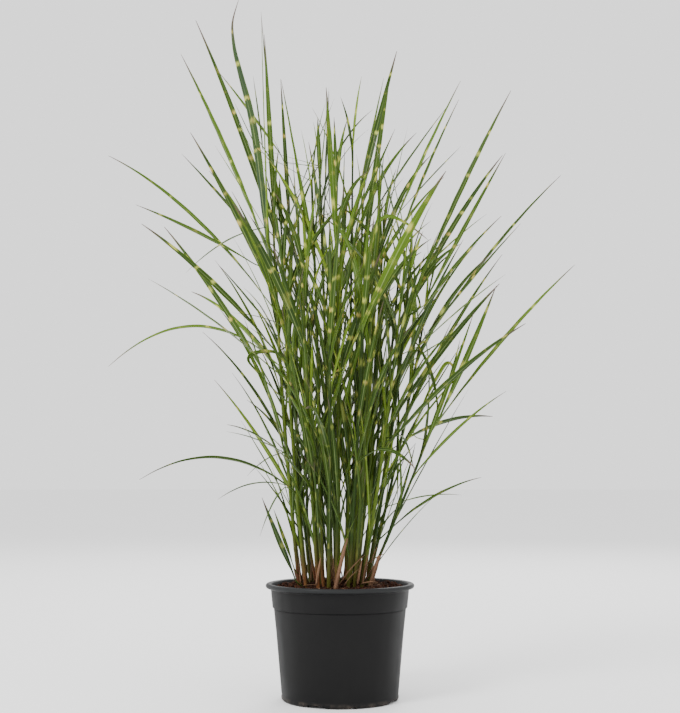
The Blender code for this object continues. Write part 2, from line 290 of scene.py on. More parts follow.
# ---------------------------------------------------------------------------------------------
# Soil. Coarse red-brown peat with bark, loose on top and mounded round the crown. The body of it
# is one rough lump. Loose crumbs, larger clods near the rim and bark chips lie on it.
# ---------------------------------------------------------------------------------------------
SOIL_EDGE = 140.4 * MM
SOIL_RISE = 8.6 * MM
SOIL_RADIUS = 84.3 * MM
SOIL_SIDES = 110
SOIL_RINGS = 40
CROWN = 58.0 * MM
HUMPS, RIPPLES, ROUGHNESS = 1.1, 0.8, 0.8  # mm
CRUMBS = 760
CRUMB_SIZES = (0.9, 1.3, 1.7, 2.4)  # mm
CLODS = 30
CLOD_SIZES = (2.6, 4.6)  # mm, least and most, as are the chips' measures
CLOD_PLACES = (0.72, 0.92)  # shares of the soil's radius
CHIPS = 110
CHIP_LENGTHS, CHIP_BREADTHS, CHIP_THICKNESSES = (3.0, 8.0), (1.4, 3.2), (0.6, 1.4)
SEED = 41
luck = random.Random(SEED)


def soil_level(x, y):
    """Height of the soil's surface."""
    share = min(1.0, math.hypot(x, y) / CROWN)
    humps = math.sin(x * 410.0 + 1.3) * math.sin(y * 370.0)
    ripples = math.sin(x * 930.0 + y * 610.0)
    mound = SOIL_RISE * (0.5 + 0.5 * math.cos(math.pi * share))
    return SOIL_EDGE + mound + (HUMPS * humps + RIPPLES * ripples) * MM


def any_way():
    """A random direction and size, up to one each way."""
    return Vector((luck.uniform(-1, 1), luck.uniform(-1, 1), luck.uniform(-1, 1)))


def soil_spot(share_out, lift):
    """A random place on the soil, no further out than a share of its radius."""
    turn = luck.uniform(0.0, 2.0 * math.pi)
    reach = share_out * SOIL_RADIUS * math.sqrt(luck.random())
    x, y = reach * math.cos(turn), reach * math.sin(turn)
    return Vector((x, y, soil_level(x, y) + lift))


soil_outline = [
    (0.0, 9.0 * MM),
    (70.0 * MM, 9.0 * MM),
    (80.4 * MM, 108.0 * MM),
    (82.6 * MM, 117.0 * MM),
    (SOIL_RADIUS, SOIL_EDGE - 2.0 * MM),
    *[(SOIL_RADIUS * (1.0 - ring / SOIL_RINGS), SOIL_EDGE) for ring in range(1, SOIL_RINGS)],
    (0.0, SOIL_EDGE),
]
soil_mesh = turned(soil_outline, SOIL_SIDES)
for point in soil_mesh.verts:
    if point.co.z > SOIL_EDGE - 0.5 * MM:
        x, y = point.co.x, point.co.y
        point.co = Vector((x, y, soil_level(x, y))) + any_way() * ROUGHNESS * MM
bmesh.ops.recalc_face_normals(soil_mesh, faces=soil_mesh.faces)

peat = Finish("peat_and_bark", 0.92, 0.08)
lumps = peat.noise(peat.place, 190.0, 5.0, 0.7)
specks = peat.noise(peat.place, 620.0, 4.0, 0.7)
colour = peat.towards((0.0060, 0.0028, 0.0020), (0.044, 0.0155, 0.0080), lumps, 0.36, 0.62)
colour = peat.towards(colour, (0.120, 0.046, 0.023), specks, 0.58, 0.70)
peat.use("Base Color", colour)
peat.relief(peat.plus(lumps, specks), 0.9, 1.4 * MM)
soil = finished("potting_soil", soil_mesh, peat.material)
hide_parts("soil")

crumbs = bmesh.new()
for _ in range(CRUMBS):
    size = luck.choice(CRUMB_SIZES) * MM
    spot = Matrix.Translation(soil_spot(0.965, 0.35 * size))
    spin = Matrix.Rotation(luck.uniform(0.0, 6.0), 4, any_way())
    stretch = Matrix.Diagonal((luck.uniform(0.7, 1.7), 1.0, luck.uniform(0.45, 0.9), 1.0))
    shape = spot @ spin @ stretch @ Matrix.Scale(size, 4)
    crumb = bmesh.ops.create_icosphere(crumbs, subdivisions=1, radius=1.0, matrix=shape)
    for point in crumb["verts"]:
        point.co += any_way() * 0.28 * size
for _ in range(CLODS):
    size = luck.uniform(*CLOD_SIZES) * MM
    turn = luck.uniform(0.0, 2.0 * math.pi)
    out = luck.uniform(*CLOD_PLACES) * SOIL_RADIUS
    x, y = out * math.cos(turn), out * math.sin(turn)
    spot = Matrix.Translation((x, y, soil_level(x, y) + 0.25 * size))
    stretch = Matrix.Diagonal((0.9 * size, 1.3 * size, 0.8 * size, 1.0))
    shape = spot @ Matrix.Rotation(turn, 4, "Z") @ stretch
    clod = bmesh.ops.create_icosphere(crumbs, subdivisions=2, radius=1.0, matrix=shape)
    for point in clod["verts"]:
        point.co += any_way() * 0.2 * size
finished("soil_crumbs", crumbs, peat.material, smooth=False)

bark = Finish("bark_chips", 0.85, 0.1)
layers = bark.noise(bark.stretched(900.0, 260.0, 900.0), 1.0, 3.0, 0.6)
colour = bark.towards((0.022, 0.0085, 0.005), (0.120, 0.047, 0.023), layers, 0.35, 0.65)
bark.use("Base Color", colour)
bark.relief(layers, 0.7, 0.5 * MM)
chips = bmesh.new()
for _ in range(CHIPS):
    length, breadth = luck.uniform(*CHIP_LENGTHS) * MM, luck.uniform(*CHIP_BREADTHS) * MM
    thickness = luck.uniform(*CHIP_THICKNESSES) * MM
    spot = Matrix.Translation(soil_spot(0.93, 0.9 * MM))
    spin, roll = luck.uniform(0.0, 6.3), luck.gauss(0.0, 0.3)
    lie = Matrix.Rotation(spin, 4, "Z") @ Matrix.Rotation(roll, 4, "X")
    shape = spot @ lie @ Matrix.Diagonal((length, breadth, thickness, 1.0))
    chip = bmesh.ops.create_cube(chips, size=1.0, matrix=shape)
    for point in chip["verts"]:
        point.co += any_way() * 0.22 * breadth
finished("bark_chips", chips, bark.material, smooth=False)

# ---------------------------------------------------------------------------------------------
# Culms. Upright round grass stems wrapped in leaf sheaths, with a swollen joint every few
# centimetres. Some are reddish brown where they leave the soil, and all are banded green above.
# ---------------------------------------------------------------------------------------------
CULM_SIDES = 12
CULM_RINGS = 96
JOINTS = 7
JOINT_RINGS = (-3.2, -1.4, 0.0, 1.4, 3.2)  # mm above and below each joint
SWELLING = 0.14
SWELLING_REACH = 1.7  # mm
SHEATH_STEP = 0.22 * MM
SHEATH_FADE = 38.0  # mm
OUT_OF_ROUND = 0.10
BAND_DRIFT = 1.8
BAND_RAGGEDNESS = 0.34
BAND_EDGE = 0.06
STEM_BANDS = (0.056, 0.065)  # spacing in metres, and width as a share of it
BLADE_BANDS = (0.041, 0.066)


def coordinates(data):
    """Every vertex of a mesh, one row each."""
    points = np.zeros(len(data.vertices) * 3)
    data.vertices.foreach_get("co", points)
    return points.reshape(-1, 3)


def rod_blank(sides, rings):
    """A plain closed rod of unit radius, cut into level rings."""
    rod = bmesh.new()
    bmesh.ops.create_cone(rod, cap_ends=True, segments=sides, radius1=1.0, radius2=1.0, depth=1.0)
    uprights = [edge for edge in rod.edges if abs(edge.verts[0].co.z - edge.verts[1].co.z) > 0.5]
    bmesh.ops.subdivide_edges(rod, edges=uprights, cuts=rings - 2)
    data = mesh_data("rod", rod)
    across, over, height = coordinates(data).T
    ring = np.rint((height + 0.5) * (rings - 1)).astype(int)
    return {"data": data, "ring": ring, "across": across, "over": over, "rings": rings}


class Bundle:
    """Many rods bent to shape and gathered in one piece, with what their material reads."""

    def __init__(self):
        self.mesh = bmesh.new()
        self.places = []
        self.notes = {"run": [], "across": [], "tone": [], "tip": []}

    def add(self, blank, places, **notes):
        self.mesh.from_mesh(blank["data"])
        self.places.append(places)
        for key, values in notes.items():
            self.notes[key].append(np.broadcast_to(values, (len(places),)))

    def finish(self, name, material):
        piece = finished(name, self.mesh, material)
        piece.data.vertices.foreach_set("co", np.concatenate(self.places).ravel())
        for key, values in self.notes.items():
            note = piece.data.attributes.new(key, "FLOAT", "POINT")
            note.data.foreach_set("value", np.concatenate(values))
        piece.data.update()
        return piece


def unit(vectors):
    return vectors / np.maximum(np.linalg.norm(vectors, axis=-1, keepdims=True), 1e-12)


def smooth_path(values, shares):
    """Values at shares of the way along a smooth curve through evenly spaced stations."""
    values = np.asarray(values, dtype=float)
    last = len(values) - 1
    steps = np.clip(np.asarray(shares) * last, 0.0, last)
    low = np.minimum(steps.astype(int), last - 1)
    t = (steps - low)[:, None]
    before, start = values[np.maximum(low - 1, 0)], values[low]
    end, after = values[low + 1], values[np.minimum(low + 2, last)]
    bend = (2 * before - 5 * start + 4 * end - after) * t**2
    turn = (3 * start - before - 3 * end + after) * t**3
    return 0.5 * (2 * start + (end - before) * t + bend + turn)


def corners(name):
    """The separate corner points of a CAD node."""
    return np.unique(coordinates(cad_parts[name].data).round(6), axis=0)


def stem_path(name):
    """Middle line and radius of a CAD stem, from its level rings."""
    points = corners(name)
    heights = np.unique(points[:, 2].round(5))
    rings = [points[np.abs(points[:, 2] - height) < 2e-5] for height in heights]
    middles = np.array([ring.mean(axis=0) for ring in rings])
    radii = [np.linalg.norm(ring - middle, axis=1).mean() for ring, middle in zip(rings, middles)]
    return middles, np.array(radii)


def add_culm(bundle, blank, middles, radii, tone):
    """A stem along its middle line, with a swollen joint and a loose sheath edge at intervals."""
    length = np.linalg.norm(np.diff(middles, axis=0), axis=1).sum()
    joints = [(k + luck.uniform(0.35, 0.75)) / JOINTS for k in range(JOINTS)]
    spots = list(np.linspace(0.0, 1.0, blank["rings"] - len(JOINT_RINGS) * JOINTS))
    for joint in joints:
        spots += [joint + shift * MM / length for shift in JOINT_RINGS]
    shares = np.clip(np.sort(spots), 0.0, 1.0)
    stations = smooth_path(np.column_stack([middles, radii]), shares)
    centre, radius = stations[:, :3], stations[:, 3]
    for joint in joints:
        gap = (shares - joint) * length / MM
        radius = radius * (1.0 + SWELLING * np.exp(-((gap / SWELLING_REACH) ** 2)))
        fade = np.exp(-np.maximum(gap, 0.0) / SHEATH_FADE)
        radius = radius + SHEATH_STEP * (gap > 0.5) * fade
    ring = blank["ring"]
    around = np.arctan2(blank["over"], blank["across"])
    reach = radius[ring] * (1.0 + OUT_OF_ROUND * np.cos(2.0 * around + tone * 9.0))
    places = centre[ring].copy()
    places[:, 0] += blank["across"] * reach
    places[:, 1] += blank["over"] * reach
    run = (shares * length)[ring]
    bundle.add(blank, places, run=run, across=blank["across"], tone=tone, tip=shares[ring])


def stripes(skin, run, across, tone, spacing, share):
    """Pale bands at uneven steps, ragged, of many strengths, and often on one side only."""
    drift = skin.noise(skin.seat(skin.times(run, 1.0 / spacing), skin.times(tone, 37.0)), 0.55, 1.0)
    along_band = skin.seat(skin.times(run, 75.0), skin.times(across, 5.0), skin.times(tone, 70.0))
    ragged = skin.plus(skin.noise(along_band, 1.0, 3.0, 0.6), -0.5)
    way = skin.plus(
        skin.times(run, 1.0 / spacing),
        skin.times(drift, BAND_DRIFT),
        skin.times(tone, 7.0),
        skin.times(ragged, BAND_RAGGEDNESS),
    )
    chance = skin.draw(skin.maths("FLOOR", way), tone)
    off_middle = skin.maths("ABSOLUTE", skin.plus(skin.maths("FRACT", way), -0.5))
    reach = skin.times(skin.plus(chance, 0.35), share)
    band = skin.step(skin.maths("SUBTRACT", off_middle, reach), BAND_EDGE, -BAND_EDGE)
    strength = skin.step(chance, 0.18, 0.75, 0.12, 0.95)
    lean = skin.times(across, skin.times(skin.plus(chance, -0.55), 3.0))
    one_side = skin.step(skin.plus(lean, ragged), -0.55, 0.05)
    return skin.times(band, skin.times(strength, one_side))


stem_skin = Finish("culm_and_sheath", 0.48, 0.11)
run, across, tone = (stem_skin.note(name) for name in ("run", "across", "tone"))
fibres = stem_skin.noise(stem_skin.stretched(1400.0, 1400.0, 22.0), 1.0, 3.0, 0.6)
patches = stem_skin.noise(stem_skin.stretched(60.0, 60.0, 26.0), 1.0, 3.0)
chance = stem_skin.draw(stem_skin.times(tone, 91.0))
green = stem_skin.towards((0.018, 0.038, 0.005), (0.080, 0.122, 0.010), tone, 0.3, 1.0)
green = stem_skin.towards(green, (0.010, 0.020, 0.004), fibres, 0.35, 0.7, 0.55)
olive = stem_skin.mix(fibres, (0.026, 0.032, 0.005), (0.085, 0.078, 0.013))
red = stem_skin.towards((0.080, 0.024, 0.010), (0.170, 0.070, 0.028), patches, 0.35, 0.65)
red = stem_skin.towards(red, (0.040, 0.014, 0.007), fibres, 0.50, 0.75, 0.7)
base = stem_skin.towards(olive, red, chance, 0.62, 0.76)
uneven = stem_skin.times(stem_skin.plus(patches, -0.5), 0.05)
rise = stem_skin.plus(stem_skin.height, uneven, stem_skin.times(chance, -0.022))
lower = stem_skin.towards(base, olive, rise, 0.134, 0.162)
colour = stem_skin.towards(lower, green, rise, 0.150, 0.205)
pale = stripes(stem_skin, run, across, tone, *STEM_BANDS)
pale = stem_skin.times(pale, stem_skin.step(stem_skin.height, 0.22, 0.55, 0.10, 0.65))
colour = stem_skin.mix(pale, colour, (0.50, 0.54, 0.11))
stem_skin.use("Base Color", colour)
stem_skin.relief(fibres, 0.35, 0.25 * MM)

culm_blank = rod_blank(CULM_SIDES, CULM_RINGS)
culm_names = sorted(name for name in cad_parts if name.startswith("culm_"))
culm_lines = {}
for name in culm_names:
    middles, radii = stem_path(name)
    culm_lines[name] = middles
    stem = Bundle()
    add_culm(stem, culm_blank, middles, radii, luck.random())
    stem_piece = stem.finish(name.replace("culm_", "stem_"), stem_skin.material)
    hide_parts(name)

# ---------------------------------------------------------------------------------------------
# Main leaf blades. Long thin grass blades folded along a pale midrib, dark green with uneven
# pale yellow bands, clasping their culm at the collar and drawn out to a dry purplish tip.
# ---------------------------------------------------------------------------------------------
BLADE_SIDES = 16
BLADE_RINGS = 64
BLADE_FOLD = 0.22
CLASP_FOLD = 0.9
WAVINESS = 0.05
BLADE_THICKNESS = 0.20 * MM
MIDRIB = 0.45 * MM
TIP_HALF_WIDTH = 0.22 * MM
CLASP_LENGTH = 14.0 * MM
COLLAR_DROP = 9.0 * MM
ROOT_WIDTH = 0.7  # inside the culm, as a share of the width at the collar
HOOKED_BLADE = "leaf_left_edge_1"
HOOK = 14.0 * MM  # how far this tallest blade's tip bows out before it hooks back
HOOK_START = -0.667  # puts the start of the bow two fifths of the way up
HOOK_PEAK = 0.1055  # the bow's curve at its furthest out, before it is scaled
MAIN_TONE, MAIN_TONE_POWER = 0.82, 1.4
BLUE_GREEN = 0.0


def add_blade(bundle, blank, middle, side, half, tone):
    """A closed thin blade from its middle line, its direction across and its half width."""
    shares = np.linspace(0.0, 1.0, blank["rings"])
    stations = smooth_path(np.column_stack([middle, side, half]), shares)
    middle, side = stations[:, :3], stations[:, 3:6]
    half = np.maximum(stations[:, 6], TIP_HALF_WIDTH)
    along = unit(np.gradient(middle, axis=0))
    side = unit(side - along * (side * along).sum(axis=1, keepdims=True))
    over = np.cross(side, along)
    steps = np.linalg.norm(np.diff(middle, axis=0), axis=1)
    lengths = np.concatenate([[0.0], steps.cumsum()])
    ring, across = blank["ring"], blank["across"]
    fold = BLADE_FOLD + CLASP_FOLD * np.exp(-lengths / CLASP_LENGTH)
    lift = half[ring] * fold[ring] * (np.abs(across) ** 1.35 - 0.45)
    waves = np.sin(lengths[ring] * 150.0 + tone * 40.0)
    lift += WAVINESS * waves * np.abs(across) * half[ring]
    rib = MIDRIB * np.exp(-((across / 0.2) ** 2)) * (blank["over"] < 0.0)
    thin = (BLADE_THICKNESS + rib) * np.minimum(1.0, half[ring] / (2.0 * MM)) * blank["over"]
    places = middle[ring] + side[ring] * (half[ring] * across)[:, None]
    places += over[ring] * (lift + thin)[:, None]
    run = lengths[ring] + tone * 0.4
    bundle.add(blank, places, run=run, across=across, tone=tone, tip=shares[ring])


def rooted(root, middle, side, half):
    """The same blade begun from a point inside its culm."""
    spacing = np.linalg.norm(middle[1] - middle[0])
    count = max(1, round(np.linalg.norm(middle[0] - root) / spacing))
    extra = root + (middle[0] - root) * np.linspace(0.0, 1.0, count, endpoint=False)[:, None]
    middle = np.vstack([extra, middle])
    side = np.vstack([np.repeat(side[:1], count, axis=0), side])
    half = np.concatenate([np.full(count, half[0] * ROOT_WIDTH), half])
    return middle, side, half


def line_at(line, height):
    """Point of a stem's middle line at a height."""
    return np.array([np.interp(height, line[:, 2], line[:, axis]) for axis in range(3)])


def leaf_stations(name):
    """Middle, direction across and half width of a CAD leaf, from its collar to its tip."""
    points = corners(name)
    spread = points - points.mean(axis=0)
    chord = np.linalg.svd(spread, full_matrices=False)[2][0]
    groups = points[np.argsort(spread @ chord)].reshape(-1, 3, 3)
    middles, sides, overs = [], [], []
    for group in groups:
        pairs = [(0, 1, 2), (0, 2, 1), (1, 2, 0)]
        first, second, keel = max(pairs, key=lambda p: np.linalg.norm(group[p[0]] - group[p[1]]))
        middles.append((group[first] + group[second]) / 2.0)
        sides.append(group[second] - group[first])
        overs.append(middles[-1] - group[keel])
    middles, sides, overs = np.array(middles), np.array(sides), np.array(overs)
    halves = np.linalg.norm(sides, axis=1) / 2.0
    if halves[0] < halves[-1]:
        middles, sides, overs, halves = middles[::-1], sides[::-1], overs[::-1], halves[::-1]
    along = np.gradient(middles, axis=0)
    outwards = (np.cross(sides, along) * overs).sum(axis=1)
    sides = unit(sides) * np.where(outwards < 0.0, -1.0, 1.0)[:, None]
    return middles, sides, halves


blade_skin = Finish("banded_blade", 0.45, 0.11)
run, across, tone, tip = (blade_skin.note(name) for name in ("run", "across", "tone", "tip"))
off_rib = blade_skin.maths("ABSOLUTE", across)
along_veins = blade_skin.seat(
    blade_skin.times(run, 9.0), blade_skin.times(across, 11.0), blade_skin.times(tone, 70.0)
)
veins = blade_skin.noise(along_veins, 1.0, 3.0, 0.65)
along_wash = blade_skin.seat(blade_skin.times(run, 16.0), across, blade_skin.times(tone, 31.0))
wash = blade_skin.noise(along_wash, 1.0)
dark = blade_skin.towards((0.027, 0.052, 0.022), (0.021, 0.046, 0.006), tone, 0.0, 0.008)
dark = blade_skin.towards(dark, (0.038, 0.076, 0.007), tone, 0.05, 0.45)
bright = blade_skin.towards((0.070, 0.136, 0.008), (0.145, 0.228, 0.013), tone, 0.6, 1.0)
green = blade_skin.towards(dark, bright, tone, 0.35, 0.85)
green = blade_skin.towards(green, (0.072, 0.128, 0.009), wash, 0.38, 0.72, 0.40)
green = blade_skin.towards(green, (0.009, 0.022, 0.004), veins, 0.45, 0.75, 0.6)
green = blade_skin.towards(green, (0.230, 0.310, 0.026), off_rib, 0.82, 1.0, 0.5)
# Painted shade: blades are blended towards a very dark green below about half a metre, as shadow
# falls inside the lower clump.
green = blade_skin.towards(green, (0.010, 0.024, 0.004), blade_skin.height, 0.50, 0.22, 0.42)
pale = stripes(blade_skin, run, across, tone, *BLADE_BANDS)
pale = blade_skin.times(pale, blade_skin.step(blade_skin.height, 0.25, 0.55, 0.28, 0.85))
cream = blade_skin.towards((0.50, 0.55, 0.095), (0.60, 0.41, 0.11), wash, 0.48, 0.64)
colour = blade_skin.mix(pale, green, cream)
rib_line = blade_skin.times(blade_skin.step(off_rib, 0.15, 0.02), blade_skin.step(tip, 0.85, 0.45))
colour = blade_skin.mix(blade_skin.times(rib_line, 0.5), colour, (0.30, 0.38, 0.14))
dry = blade_skin.plus(tip, blade_skin.times(blade_skin.plus(veins, -0.5), 0.12))
colour = blade_skin.towards(colour, (0.105, 0.068, 0.058), dry, 0.83, 0.97, 0.9)
blade_skin.use("Base Color", colour)
blade_skin.use("Roughness", blade_skin.step(veins, 0.3, 0.7, 0.36, 0.52))
blade_skin.relief(veins, 0.30, 0.20 * MM)

blade_blank = rod_blank(BLADE_SIDES, BLADE_RINGS)
for name in sorted(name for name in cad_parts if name.startswith("leaf_")):
    middle, side, half = leaf_stations(name)
    tone_drawn = MAIN_TONE * luck.random() ** MAIN_TONE_POWER
    if name == HOOKED_BLADE:
        past = np.clip(np.linspace(HOOK_START, 1.0, len(middle)), 0.0, 1.0)
        middle[:, 0] -= HOOK * past**3 * (1.0 - past) / HOOK_PEAK
        tone_drawn = BLUE_GREEN
    line = culm_lines["culm_" + name[len("leaf_"):-2]]
    root = line_at(line, middle[0][2] - COLLAR_DROP)
    leaf = Bundle()
    add_blade(leaf, blade_blank, *rooted(root, middle, side, half), tone_drawn)
    blade_piece = leaf.finish(name.replace("leaf_", "blade_"), blade_skin.material)
    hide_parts(name)

# ---------------------------------------------------------------------------------------------
# Young shoots. Thinner culms between the main ones, banded and jointed in the same way. They fill
# the crown, fan out less to the left than to the right, and stop at different heights.
# ---------------------------------------------------------------------------------------------
CM = 0.01
SHOOTS = 29
SHOOT_RADII = (1.3 * MM, 2.1 * MM)
SHOOT_TOPS = (0.26, 0.58)
SHOOT_GAP = 5.4 * MM
SHOOT_BOW = 5.0 * MM
SHOOT_STATIONS = 8
TOP_SCATTER = 6.0  # mm
CROWN_WIDTH, CROWN_DEPTH, CROWN_SHIFT = 4.5, 4.7, -0.9  # half width, half depth, shift in cm
FAN_HEIGHT = 0.44  # metres above the soil, where a shoot has moved out by these shares
SPREAD_LEFT, SPREAD_RIGHT, SPREAD_DEEP = 0.75, 1.7, 1.35
shoot_lines = []
feet = [line[0][:2] for line in culm_lines.values()]
shoots = Bundle()
while len(shoot_lines) < SHOOTS:
    turn, reach = luck.uniform(0.0, 2.0 * math.pi), math.sqrt(luck.random())
    x = CROWN_WIDTH * reach * math.cos(turn) + CROWN_SHIFT
    foot = np.array([x, CROWN_DEPTH * reach * math.sin(turn)]) * CM
    if min(np.linalg.norm(foot - other) for other in feet) < SHOOT_GAP:
        continue
    feet.append(foot)
    top_height = luck.uniform(*SHOOT_TOPS)
    rise = (top_height - SOIL_EDGE) / FAN_HEIGHT
    spread = np.array([SPREAD_LEFT if foot[0] < 0.0 else SPREAD_RIGHT, SPREAD_DEEP]) * rise
    scatter = np.array([luck.gauss(0.0, TOP_SCATTER), luck.gauss(0.0, TOP_SCATTER)]) * MM
    top = foot * (1.0 + spread) + scatter
    start = np.array([*foot, soil_level(*foot) - 5.0 * MM])
    shares = np.linspace(0.0, 1.0, SHOOT_STATIONS)[:, None]
    line = start + (np.array([*top, top_height]) - start) * shares
    line[:, :2] += SHOOT_BOW * np.sin(math.pi * shares) * unit(foot)
    shoot_lines.append(line)
    radii = luck.uniform(*SHOOT_RADII) * (1.0 - 0.4 * shares[:, 0])
    add_culm(shoots, culm_blank, line, radii, luck.random())
shoots.finish("young_shoots", stem_skin.material)
stem_lines = list(culm_lines.values()) + shoot_lines

# ---------------------------------------------------------------------------------------------
# Outer blades. The thinner leaves that stand out round the clump, each from its own place on a
# culm to its own tip, as the main blades do.
# ---------------------------------------------------------------------------------------------
SMALL_SIDES = 8
SMALL_RINGS = 34
OUTER_STATIONS = 12
WIDEST_AT = 0.38
TURNED_BY = 0.6
TONE_POWER = 1.5
OUTER_BLADES = {  # start and tip in cm, arch as a share of the span, width in mm, twist
    "left": [
        ((-8.6, 1.5, 60.0), (-10.3, 2.0, 87.9), 0.02, 7.5, 80),
        ((-9.3, -4.0, 57.7), (-10.2, -6.0, 87.9), 0.01, 6.0, 60),
        ((-9.5, -5.0, 54.4), (-18.9, -8.0, 71.2), 0.04, 6.0, -40),
        ((-10.8, 0.0, 59.0), (-21.2, 1.0, 71.0), 0.03, 5.0, 50),
        ((-10.0, 3.0, 61.2), (-17.3, 6.0, 73.6), 0.02, 4.0, -30),
        ((-11.1, -2.0, 55.5), (-26.5, -3.0, 63.1), 0.05, 6.0, -50),
        ((-8.3, -6.0, 41.3), (-23.4, -11.0, 52.0), 0.07, 6.0, 40),
        ((-9.6, -3.0, 60.1), (-19.2, -8.0, 53.3), 0.18, 5.0, 20),
        ((-7.2, 1.0, 45.1), (-16.5, 4.0, 56.6), 0.03, 5.0, -50),
        ((-8.0, -4.0, 47.5), (-13.5, -9.0, 48.1), 0.08, 3.0, 10),
        ((-8.4, -5.0, 42.4), (-12.8, -9.0, 50.7), 0.03, 3.5, 40),
        ((-10.5, 4.0, 72.4), (-12.0, 5.0, 83.1), 0.01, 4.0, 0),
        ((-7.4, 3.0, 70.5), (-17.2, 8.0, 84.9), 0.03, 4.0, 60),
        ((-10.7, -4.0, 70.1), (-13.7, -6.0, 76.1), 0.00, 3.0, 20),
        ((-11.3, 5.0, 71.0), (-14.1, 7.0, 77.2), 0.00, 3.0, -20),
        ((-6.4, -4.0, 30.6), (-13.8, -10.0, 33.4), 0.10, 4.0, 30),
        ((-5.9, -5.0, 23.8), (-12.1, -9.0, 34.8), 0.03, 4.0, 50),
        ((-6.7, 2.0, 30.8), (-10.1, 4.0, 34.2), 0.02, 3.5, 0),
        ((-6.4, 4.0, 26.7), (-16.8, 10.0, 24.9), 0.22, 4.5, -20),
        ((-6.8, -2.0, 31.1), (-11.6, -5.0, 28.1), 0.20, 3.0, 20),
        ((-5.4, -3.0, 14.8), (-9.8, -4.2, 25.4), -0.03, 7.5, 85),
        ((-6.8, -5.0, 26.7), (-9.7, -9.0, 20.8), 0.25, 3.0, 0),
        ((-5.8, -2.0, 16.5), (-8.4, -2.6, 23.9), 0.00, 5.0, 80),
    ],
    "middle": [
        ((-6.6, 3.0, 58.0), (-8.1, 3.0, 82.0), 0.02, 6.5, 70),
        ((-1.3, -1.0, 62.5), (-1.9, -1.0, 77.9), 0.00, 4.0, 30),
        ((-3.4, 1.0, 58.7), (-1.5, 2.0, 80.5), 0.01, 5.5, 10),
        ((-5.9, 2.0, 65.3), (-0.8, 4.0, 79.6), -0.02, 3.5, 40),
        ((-3.0, -3.0, 60.0), (-3.5, -3.0, 70.4), 0.00, 4.0, 0),
        ((-5.3, -2.0, 58.1), (-6.2, -3.0, 69.9), 0.00, 4.5, 60),
        ((-3.3, 2.0, 60.0), (0.1, 5.0, 73.1), 0.02, 3.5, 20),
        ((0.3, -2.0, 58.1), (0.6, -3.0, 70.8), 0.00, 3.5, -30),
        ((-3.0, -4.0, 39.5), (-8.4, -9.0, 56.7), 0.03, 10.0, -30),
        ((0.0, -5.0, 41.4), (5.0, -10.0, 55.5), 0.02, 10.0, 30),
        ((1.3, 2.0, 58.9), (6.0, 4.0, 82.5), 0.02, 5.0, -40),
        ((1.5, -3.0, 60.0), (7.0, -7.0, 72.0), 0.02, 4.0, 50),
        ((5.3, 4.0, 58.2), (9.4, 7.0, 76.4), 0.02, 5.0, 30),
    ],
    "right": [
        ((10.1, -5.0, 49.4), (3.9, -9.0, 71.3), 0.02, 8.0, 50),
        ((9.7, 1.0, 55.5), (6.2, 0.0, 71.2), 0.00, 4.0, 30),
        ((7.9, 3.0, 63.4), (17.0, 9.0, 74.3), 0.02, 4.0, 50),
        ((1.8, -2.0, 58.1), (14.1, -5.0, 75.9), 0.05, 5.5, -50),
        ((7.4, 4.0, 51.8), (20.5, 9.0, 64.6), 0.06, 5.0, 40),
        ((10.0, -4.0, 44.5), (20.5, -9.0, 52.9), 0.05, 5.0, -40),
        ((9.3, 2.0, 43.7), (24.8, 6.0, 62.6), 0.04, 6.0, 50),
        ((10.7, -2.0, 49.9), (21.3, -5.0, 69.4), 0.02, 6.0, 60),
        ((12.6, -4.5, 35.5), (19.6, -7.0, 51.8), -0.04, 8.0, 60),
        ((7.4, -5.0, 33.5), (13.8, -9.0, 47.1), -0.02, 6.5, -60),
        ((9.9, 3.0, 38.0), (14.6, 6.0, 44.5), 0.02, 3.5, 0),
        ((8.5, -3.0, 42.1), (14.4, -7.0, 45.6), 0.07, 3.0, 20),
        ((7.0, -6.0, 33.0), (9.0, -11.0, 28.3), 0.45, 4.0, 10),
        ((7.7, 4.0, 29.8), (7.8, 8.0, 25.0), 0.50, 3.5, -10),
        ((6.1, 1.0, 24.1), (16.1, 4.0, 25.6), 0.12, 4.0, 30),
    ],
}
small_blank = rod_blank(SMALL_SIDES, SMALL_RINGS)


def width_along(shares, width):
    """Half width: narrow at the collar, widest past a third, long taper to the tip."""
    swell = 0.55 + 0.45 * np.sin(0.5 * math.pi * np.minimum(1.0, shares / WIDEST_AT))
    taper = np.clip((shares - WIDEST_AT) / (1.0 - WIDEST_AT), 0.0, 1.0)
    return 0.5 * width * swell * (1.0 - 0.95 * taper**1.7)


def turned_sides(middle, twist):
    """Directions across a blade, level at its collar and turned by twist further up."""
    along = unit(np.gradient(middle, axis=0))
    chord = middle[-1] - middle[0]
    level = unit(np.array([chord[1] + 1e-6, -chord[0], 0.0]))
    level = unit(level - along * (along @ level)[:, None])
    over = np.cross(level, along)
    shares = np.minimum(1.0, np.linspace(0.0, 1.0, len(middle)) / TURNED_BY)
    turn = math.radians(twist) * np.sin(0.5 * math.pi * shares)
    return level * np.cos(turn)[:, None] + over * np.sin(turn)[:, None]


def nearest_root(start):
    """Point inside the nearest stem, a little below where a blade stands clear of it."""
    roots = [line_at(line, start[2] - COLLAR_DROP) for line in stem_lines]
    return min(roots, key=lambda root: np.linalg.norm(root - start))


def blade_through(bundle, middle, width, twist):
    """A small blade of a width in mm along its own middle line, begun inside the nearest stem."""
    half = width_along(np.linspace(0.0, 1.0, len(middle)), width * MM)
    stations = rooted(nearest_root(middle[0]), middle, turned_sides(middle, twist), half)
    add_blade(bundle, small_blank, *stations, luck.random() ** TONE_POWER)


